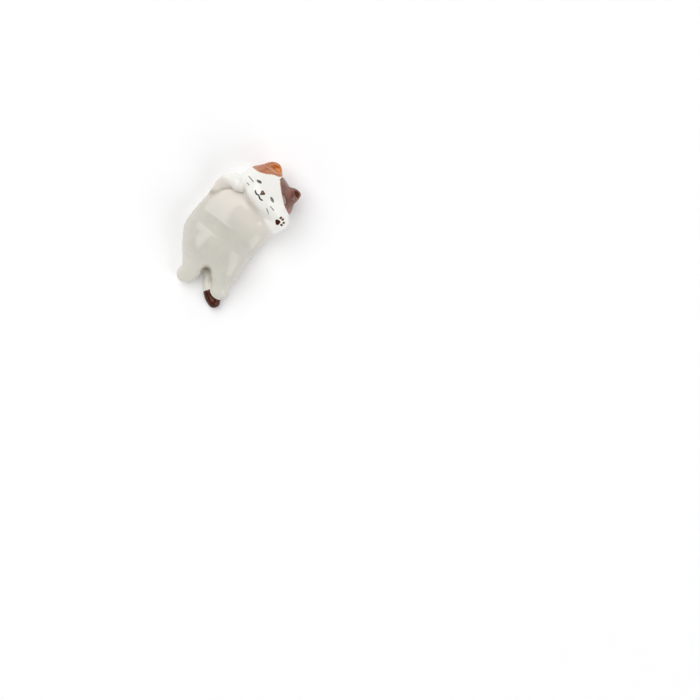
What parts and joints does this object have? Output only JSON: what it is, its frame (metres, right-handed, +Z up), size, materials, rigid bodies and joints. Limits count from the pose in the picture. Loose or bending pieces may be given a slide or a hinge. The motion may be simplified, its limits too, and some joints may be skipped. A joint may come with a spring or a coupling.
{
  "type": "chopstick rest",
  "caption": "Glazed ceramic chopstick rest shaped as a calico cat lying on its back, with a saddle across its chest that holds a pair of chopsticks.",
  "frame": {"origin": "middle of the outline on the table that the rest stands on", "axes": "+Z up towards the face and tummy, +Y from the feet and tail to the head, +X towards the cat's own left"},
  "size_m": [0.03, 0.0548, 0.0175],
  "materials": {
    "white_glaze": "glossy clear glaze over white clay",
    "dark_enamel": "glossy dark brown underglaze",
    "orange_enamel": "glossy orange underglaze",
    "orange_lining": "glossy deep orange underglaze",
    "brown_enamel": "glossy brown underglaze",
    "line_enamel": "thin drawn line of dark underglaze"
  },
  "bodies": {
    "root": {"torso": "white_glaze", "head": "white_glaze", "muzzle": "white_glaze", "right_ear": "white_glaze", "left_ear": "white_glaze", "right_foreleg": "white_glaze", "left_foreleg": "white_glaze", "right_hind_leg": "white_glaze", "left_hind_leg": "white_glaze", "tail": "white_glaze", "tail_tip": "dark_enamel", "orange_patch": "orange_enamel", "brown_patch": "brown_enamel", "right_ear_lining": "orange_lining", "left_ear_lining": "dark_enamel", "right_eye": "line_enamel", "left_eye": "line_enamel", "nose": "dark_enamel", "mouth": "line_enamel", "right_whiskers": "line_enamel", "left_whiskers": "line_enamel", "paw_heel_pad": "dark_enamel", "paw_toe_pads": "dark_enamel"}
  },
  "joints": []
}
